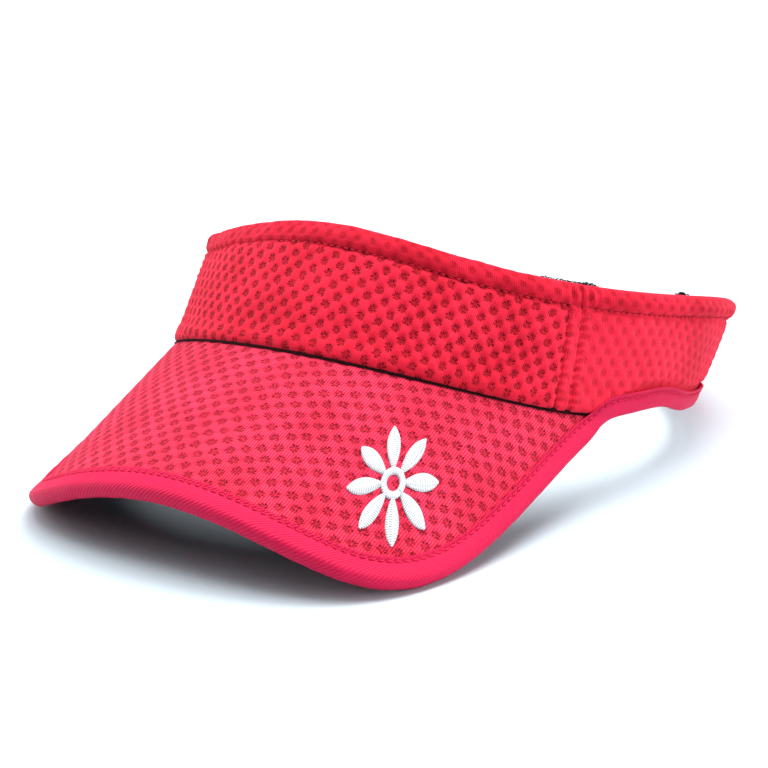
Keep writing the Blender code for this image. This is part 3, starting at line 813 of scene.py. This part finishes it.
a, b = grid(801, 41)
u = np.radians((2.0 * a - 1.0) * TAPE_END)
x, outside = arc(u), ease((0.62 - b) / 0.2)
down, depth = hem_section(u, b)
for side in (-1.0, 1.0):
    off = x - arc(np.radians(side * SEAM_HIGH))
    crease = np.sin(off * TAU / 3.1 + side * 5.0 * b) * np.abs(np.sin(off * 0.9 + 1.0))
    depth += 0.75 * bump_at(off, side * 1.5, 7.0) * crease * outside
cloth = flat_map(x, b * HEM_WEAVE)
ripple = 0.45 * soft_noise(x, b * HEM_WEAVE, 7.0, 12.0) + 0.12 * soft_noise(x, b * HEM_WEAVE, 2.2, 13.0)
depth -= (ripple + 0.22 * puff(cloth, BAND_CELL)) * outside
thick = FOLD_THICK * np.clip((0.5 - b) / 0.2, -1.0, 1.0)
inner_down = down + FOLD_THICK * np.sin(math.pi * np.clip((b - 0.28) / 0.44, 0, 1))
outer = band(u, from_top(u, down), depth)
inner = band(u, from_top(u, inner_down), depth + thick)
hem = build("rolled_hem", [(outer, inner, cloth)], hem_knit)
set_role(hem, "top_edge_binding")
declare_sheet(flat_map(x, b * HEM_FLAT))

u = np.radians(np.linspace(-1.0, 1.0, 900) * (TAPE_END - 1.0))
hem_line = band(u, from_top(u, hem_width(u) + 0.4), STITCH_DEPTH)
stitch_run("hem_stitches", [hem_line], stitch_crimson, pitch=2.5, length=1.75, radius=0.34)

b = np.linspace(0.05, 0.84, 120)
seam_paths = [
    band(side * seam_turn(b, line), b, STITCH_DEPTH)
    for side in (-1.0, 1.0) for line in (-SEAM_SHIFT + 0.6, SEAM_SHIFT)
]
stitch_run("seam_stitches", seam_paths, stitch_crimson, pitch=2.6, length=1.8, radius=0.33)


# ---------------- sweatband
def terry_peek(deg):
    """How far the towelling rides up over its seam: most at the temples, a little by the ears."""
    temple = ease((deg - 49.0) / 6.0) * ease((73.0 - deg) / 7.0)
    return 3.1 * temple + 2.4 * bump_at(deg, 91.5, 3.0) + 2.2 * bump_at(deg, -64.0, 9.0)


a, b = grid(561, 45)
deg = (2.0 * a - 1.0) * SWEAT_END
u = np.radians(deg)
drop = -4.5 + 5.9 * ease((np.abs(deg) - 45.0) / 30.0)
v = rows_up(u, drop, 1.4 - terry_peek(deg), b)
pile = 0.45 * soft_noise(arc(u), v * 42.0, 1.7, 21.0) + 0.25 * soft_noise(arc(u), v * 42.0, 7.0, 22.0)
round_edge = 0.7 * (np.abs(2.0 * b - 1.0) ** 8)
inner = SWEAT_DEPTH + SWEAT_THICK - round_edge + pile
sweatband = band_layer("sweatband", u, v, SWEAT_DEPTH + round_edge, inner, terry)
set_role(sweatband, "sweatband_terry")

a, b = grid(241, 4)
deg = (2.0 * a - 1.0) * (SWEAT_END - 0.5)
u = np.radians(deg)
top_strip = band(u, from_top(u, 1.2 - terry_peek(deg)), SWEAT_DEPTH + 0.2 + 1.7 * b)
yarn_loops("terry_loops", top_strip, yarn_black, density=2.2, loop=0.6, yarn=0.13, seed=5, slot="black_terry")


# ---------------- bill
a, b = grid(321, 151)
cloth = bill_cloth(bill_sheet(a, b, 0.0))
top = bill_sheet(a, b, 0.05 - 0.17 * puff(cloth, BILL_CELL))
bill_cover = build("bill_cover", [(top, bill_sheet(a, b, 0.8), cloth)], bill_mesh)
set_role(bill_cover, "bill_top_cover")
declare_sheet(cloth)

a, b = grid(161, 61)
face = bill_sheet(a, b, 3.3)
cloth = bill_cloth(face)
wrinkle = 0.06 * soft_noise(face[..., 0], face[..., 1], 9.0, 31.0)
bill_lining = build("bill_lining", [(face, bill_sheet(a, b, 3.98 + wrinkle), cloth)], under_cloth)
set_role(bill_lining, "bill_under_cover")
declare_sheet(cloth)

a, b = grid(121, 41)
upper, lower = (bill_sheet(a, b, under, end=0.9, root_inset=0.8) for under in (1.12, 2.88))
bill_stiffener = build("bill_stiffener", [(upper, lower, bill_cloth(upper))], board_plastic)
set_role(bill_stiffener, "bill_board")

# A near-black strip where the band's rolled edge meets the bill, standing in for the shadow in that crease:
# painted shade over a seam allowance.
a, b = grid(321, 9)
u = np.radians((2.0 * a - 1.0) * 69.0)
v = from_low(u, 0.3 + 1.25 * b)
shell = (band(u, v, 0.8 * b - 0.40), band(u, v, 1.3), flat_map(arc(u), 3.0 * b))
join = build("bill_join_seam_shade", [shell], join_seam_shade)
set_role(join)


# ---------------- edge tapes of the bill and band
RUN_T = np.linspace(0.0, 1.0, 801)
RUN_X, RUN_Y = outline(RUN_T)
RUN_BILL = path_length(stack(RUN_X, RUN_Y, bill_height(RUN_X, RUN_Y)))
RUN_U = np.radians(np.linspace(BILL_ROOT, TAPE_END, 601))
RUN_BAND = path_length(lower_edge(RUN_U))
BILL_RUN, TAPE_RUN = RUN_BILL[-1], RUN_BILL[-1] + RUN_BAND[-1]


def drape(points, gap):
    """The move that brings points to at least gap millimetres outside the band."""
    u = np.arctan2(points[..., 0] / HALF_WIDTH, -points[..., 1] / HALF_LENGTH)
    low, top = lower_edge(u)[..., 2], upper_edge(u)[..., 2]
    wall_point = wall(u, np.clip((points[..., 2] - low) / (top - low), 0.0, 1.0))
    short = gap - ((points - wall_point) * band_out(u)).sum(axis=-1)
    return band_out(u) * (0.5 * (short + np.sqrt(short ** 2 + 0.3)))[..., None]


def tape_point(run, inset, over):
    """A point of the edge tape; over is 0 on its top or outer leg and 1 on the other.

    run is the length along the tape from the bill's nose, signed by side.
    """
    side, far = np.where(run >= 0, 1.0, -1.0), np.abs(run)
    t = side * np.interp(far, RUN_BILL, RUN_T)
    u = side * np.interp(far - BILL_RUN, RUN_BAND, RUN_U)
    early = np.radians(BILL_ROOT) - (BILL_RUN - far) / 80.0
    u = np.where(far < BILL_RUN, side * early, u)
    blend = ease((far - BILL_RUN + 17.0) / 24.0)[..., None]
    under = -FOLD_THICK + (BILL_THICK + 2.0 * FOLD_THICK) * over
    on_edge = bill_edge(np.clip(t, -0.995, 0.995), inset, under)
    on_wall = band(u, from_low(u, inset), -FOLD_THICK + (TAPE_DEPTH + TAPE_THICK + 0.65) * over)
    point = on_edge * (1 - blend) + on_wall * blend
    near = ease((far - BILL_RUN + 45.0) / 12.0) * ease((0.55 - over) / 0.5)
    return point + drape(point, 0.95) * near[..., None]


def tape_width(run):
    far = np.abs(run)
    return EDGE_TAPE + (BACK_TAPE - EDGE_TAPE) * ease((far - BILL_RUN + 40.0) / 50.0)


def tape_surface(run, b, lift):
    """Folded tape: b runs from one free edge round the roll to the other; lift is height over the base."""
    turn = np.clip((b - TAPE_LEG) / (1.0 - 2.0 * TAPE_LEG), 0.0, 1.0)
    leg = np.clip(np.where(b < 0.5, 1.0 - b / TAPE_LEG, (b - 1.0 + TAPE_LEG) / TAPE_LEG), 0.0, 1.0)
    inset = TAPE_ROLL + (tape_width(run) - TAPE_ROLL) * leg
    inset -= (TAPE_ROLL + lift) * np.sin(math.pi * turn) ** 0.9
    over = 0.5 - 0.5 * np.cos(math.pi * turn)
    away = unit(tape_point(run, inset, 0.0) - tape_point(run, inset, 1.0))
    return tape_point(run, inset, over) + away * ((1.0 - 2.0 * over) * lift)[..., None]


def tape_lift(run, b):
    """Soft relief of the tape: pressed in along its stitching, slightly full at the roll."""
    from_free = np.where(b < 0.5, b, 1.0 - b) / TAPE_LEG * (tape_width(run) - TAPE_ROLL)
    press = -0.42 * bump_at(from_free, TAPE_LINE, 0.7) * (1.0 + 0.5 * np.sin(run * TAU / 2.8))
    full = 0.25 * ease((from_free - 2.0) / 3.0)
    wave = 0.12 * soft_noise(run, b * 22.0, 5.0, 41.0)
    return 0.1 + press + full + wave + 0.15 * bump_at(from_free, 0.2, 0.5)


def tape_piece(name, node, start, stop, rows):
    a, b = grid(rows, 45)
    run = start + (stop - start) * a
    lift = tape_lift(run, b)
    outer, inner = tape_surface(run, b, lift), tape_surface(run, b, lift - FOLD_THICK)
    piece = build(name, [(outer, inner, flat_map(run, b * TAPE_WEAVE))], edge_twill)
    set_role(piece, node)
    declare_sheet(flat_map(run, b * TAPE_FLAT))


tape_piece("bill_edge_tape", "bill_edge_binding", -BILL_RUN, BILL_RUN, 801)
for word, side in (("left", 1.0), ("right", -1.0)):
    name, node = f"band_edge_tape_{word}", f"back_edge_binding_{word}"
    tape_piece(name, node, side * BILL_RUN, side * TAPE_RUN, 261)

run = np.linspace(-TAPE_RUN + 2.0, TAPE_RUN - 2.0, 1400)
line = TAPE_LEG * TAPE_LINE / (tape_width(run) - TAPE_ROLL)
for name, across in (("tape_stitches", line), ("tape_stitches_under", 1.0 - line)):
    stitch_run(name, [tape_surface(run, across, 0.0)], stitch_magenta, pitch=2.8, length=2.1, radius=0.24)


# ---------------- embroidered rosette
def motif_point(radius, angle, height):
    x = MOTIF_X + radius * np.cos(angle) * 0.72
    y = MOTIF_Y + radius * np.sin(angle)
    return on_bill(x, y, -height)


def satin(along, across):
    """Height of satin stitch: a soft crown ridged by its threads."""
    ridge = 0.10 * np.cos(along * TAU / THREAD_PITCH)
    return 0.22 + 0.5 * np.sqrt(np.clip(1.0 - across ** 2, 0.0, 1.0)) + ridge * (1.0 - across ** 4)


def motif_shell(radius, angle, height, uv):
    return motif_point(radius, angle, height), motif_point(radius, angle, 0.08), uv


def motif_shells():
    """The rosette's petals, each with a point, and the ring in their middle."""
    shells = []
    a, b = grid(141, 15)
    across = 2.0 * b - 1.0
    radius = PETAL_ROOT + (MOTIF_RADIUS - PETAL_ROOT) * a
    half = 3.3 * np.sin(math.pi * np.clip(a * 0.94 + 0.03, 0, 1)) ** 0.62 * (0.55 + 0.45 * a)
    reach = radius - 0.6 * across ** 2
    height = satin(reach + 0.9 * np.abs(across), across)
    for k in range(MOTIF_PETALS):
        angle = TAU * k / MOTIF_PETALS + across * half / radius
        shells.append(motif_shell(reach, angle, height, flat_map(reach, across * half)))
    a, b = grid(161, 11)
    angle = TAU * a * (1.0 - 1e-4)
    radius, along = RING_INNER + RING_WIDE * b, angle * 3.4
    height = satin(along, 2.0 * b - 1.0) + 0.1
    shells.append(motif_shell(radius, angle, height, flat_map(along, radius)))
    return shells


rosette = build("rosette", motif_shells(), satin_white)
set_role(rosette, "embroidered_motif")


# ---------------- strap, patches and label
def strap_sheet(theta, b, depth):
    """A face of the strap, narrowed at its rounded tip."""
    tip = np.clip((theta - STRAP_TIP) / -4.0 + 1.0, 0.0, 1.0)
    half = 0.5 * (STRAP_HIGH - STRAP_LOW) * np.sqrt(np.clip(1.0 - 0.6 * tip ** 2, 0.0, 1.0))
    return cone(theta, 0.5 * (STRAP_LOW + STRAP_HIGH) + half * (2.0 * b - 1.0), depth)


def strap_rows(b, inset):
    """Heights across the strap, from inset millimetres over its lower edge to inset under its upper one."""
    return STRAP_LOW + inset + (STRAP_HIGH - STRAP_LOW - 2.0 * inset) * b


a, b = grid(241, 25)
theta = STRAP_ROOT + (STRAP_TIP - STRAP_ROOT) * a
rib = 0.10 * np.cos((2.0 * b - 1.0) * 12.0)
half = 0.5 * STRAP_THICK - 0.35 * np.abs(2.0 * b - 1.0) ** 6
outer = strap_sheet(theta, b, strap_depth(theta) - half - rib)
inner = strap_sheet(theta, b, strap_depth(theta) + half)
strap = build("back_strap", [(outer, inner, flat_map(theta * STRAP_WEAVE, b * 14.0))], webbing)


def fold_end(shift):
    """A table point on the strap's middle, shift degrees from its fold line."""
    point = to_table(cone(np.array(STRAP_FOLD + shift), 15.5, strap_depth(STRAP_FOLD)))
    return tuple(float(c) for c in point)


fold_end(3.0)
fold_end(-3.0)
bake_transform(strap)
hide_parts("closure_strap", "closure_strap_tip")
declare_sheet(flat_map(theta * STRAP_FLAT, b * (STRAP_HIGH - STRAP_LOW)))

a, b = grid(41, 21)
theta = HOOK_START + (HOOK_END - HOOK_START) * a
height = strap_rows(b, 1.2)
cloth = flat_map(theta * STRAP_WEAVE, height)
hook_base = build("hook_base", [(cone(theta, height, -2.6), cone(theta, height, -2.3), cloth)], hook_nylon)
set_role(hook_base, "hook_patch", body="strap_tip")
face, role = cone(theta, height, -2.28), {"slot": "black_hook", "body": "strap_tip"}
yarn_loops("hook_field", face, hook_nylon, density=1.1, loop=0.22, yarn=0.07, seed=8, **role)

a, b = grid(61, 21)
u = -np.radians(LOOP_START + LOOP_SPAN * a)
height = strap_rows(b, -0.2)
v = height / wall_length(u)
fuzz = 0.12 * soft_noise(arc(u), height, 1.2, 51.0)
loop_pad = band_layer("loop_pad", u, v, -0.85 - fuzz, -0.1, loop_nap)
set_role(loop_pad, "loop_patch")
declare_sheet(flat_map(arc(u), height))
face = band(u, v, -0.85)
yarn_loops("loop_field", face, yarn_black, density=1.6, loop=0.28, yarn=0.06, seed=9, slot="black_loop")

near, far = LOOP_START + 2.0, LOOP_START + LOOP_SPAN - 2.0
low, high = STRAP_LOW + 0.8, STRAP_HIGH - 0.8
corners = np.array([(near, low), (far, low), (far, high), (near, high), (near, low)])
path = smooth_path(corners * [STRAP_WEAVE, 1.0], 240) / [STRAP_WEAVE, 1.0]
u = -np.radians(path[:, 0])
line = band(u, path[:, 1] / wall_length(u), -0.98)
stitch_run("pad_stitches", [line], stitch_black, pitch=2.0, length=1.6, radius=0.2)

a, b = grid(21, 31)
u = np.radians(112.0 + (2.0 * a - 1.0) * 4.5)
height = 10.0 + 16.0 * b
depth = SWEAT_DEPTH + SWEAT_THICK + 0.45 + 0.5 * ease((0.4 - b) / 0.4)
label = band_layer("sewn_label", u, height / wall_length(u), depth, depth + 0.35, label_cloth)
set_role(label, "care_label")
declare_sheet(flat_map(arc(u), height))


# ---------------- stage, light and camera
FLOOR_HALF, FLOOR_DROP = 60.0, 0.0004
LENS, SENSOR = 83.45, 36.0
CAMERA_AT, CAMERA_AIM = (0.30889, -0.50978, 0.2012), (0.00509, -0.02169, 0.028)

# Each sun: name, side (0 before the wearer, 90 at the left), height and spread in degrees, and power.
SUNS = (
    ("top", 0.0, 88.0, 36.0, 2.1),
    ("back", 165.0, 63.0, 34.0, 3.1),
    ("top_left", 275.0, 55.0, 50.0, 1.0),
    ("right", 100.0, 25.0, 50.0, 1.4),
    ("low_right", 95.0, 8.0, 40.0, 1.2),
    ("left", 280.0, 25.0, 50.0, 1.3),
    ("low_left", 285.0, 8.0, 40.0, 0.7),
)


def pale_floor():
    f = Finish("pale_floor", roughness=0.9, specular=0.2)
    f.colour(f.mix(f.times(f.mottle(3.0), 0.02), (0.54, 0.62, 0.675), (0.52, 0.60, 0.655)))
    return f.material


mesh = bpy.data.meshes.new("floor")
corners = [(x * FLOOR_HALF, y * FLOOR_HALF, 0.0) for x, y in ((-1, -1), (1, -1), (1, 1), (-1, 1))]
mesh.from_pydata(corners, [], [(0, 1, 2, 3)])
floor = add_object("floor", mesh)
floor.data.materials.append(pale_floor())
floor.location.z = -FLOOR_DROP


def studio_world():
    """A dim cool fill that is seen as plain white beyond the floor."""
    world = bpy.data.worlds.new("studio")
    world.use_nodes = True
    tree = world.node_tree
    fill = tree.nodes["Background"]
    fill.inputs["Color"].default_value = (0.4, 0.92, 1.0, 1.0)
    fill.inputs["Strength"].default_value = 0.05
    plain = add_node(tree, "ShaderNodeBackground", {"Color": (1.0, 1.0, 1.0, 1.0)})
    seen = add_node(tree, "ShaderNodeLightPath").outputs["Is Camera Ray"]
    blend = add_node(tree, "ShaderNodeMixShader", {0: seen, 1: fill.outputs[0], 2: plain.outputs[0]})
    tree.links.new(blend.outputs[0], tree.nodes["World Output"].inputs["Surface"])
    return world


def soft_sun(name, side, height, spread, power):
    light = bpy.data.lights.new(name, "SUN")
    light.angle = math.radians(spread)
    light.energy = power
    side, height = math.radians(side), math.radians(height)
    place = Vector((math.sin(side) * math.cos(height), -math.cos(side) * math.cos(height), math.sin(height)))
    add_object(name, light).rotation_euler = (-place).to_track_quat("-Z", "Y").to_euler()


bpy.context.scene.world = studio_world()
for sun in SUNS:
    soft_sun(*sun)

camera = bpy.data.cameras.new("camera")
camera.lens = LENS
camera.sensor_width = SENSOR
camera.clip_start = 0.01
view = add_object("camera", camera)
view.location = CAMERA_AT
view.rotation_euler = (Vector(CAMERA_AIM) - view.location).to_track_quat("-Z", "Y").to_euler()
bpy.context.scene.camera = view
bpy.context.scene.view_settings.view_transform = "Standard"
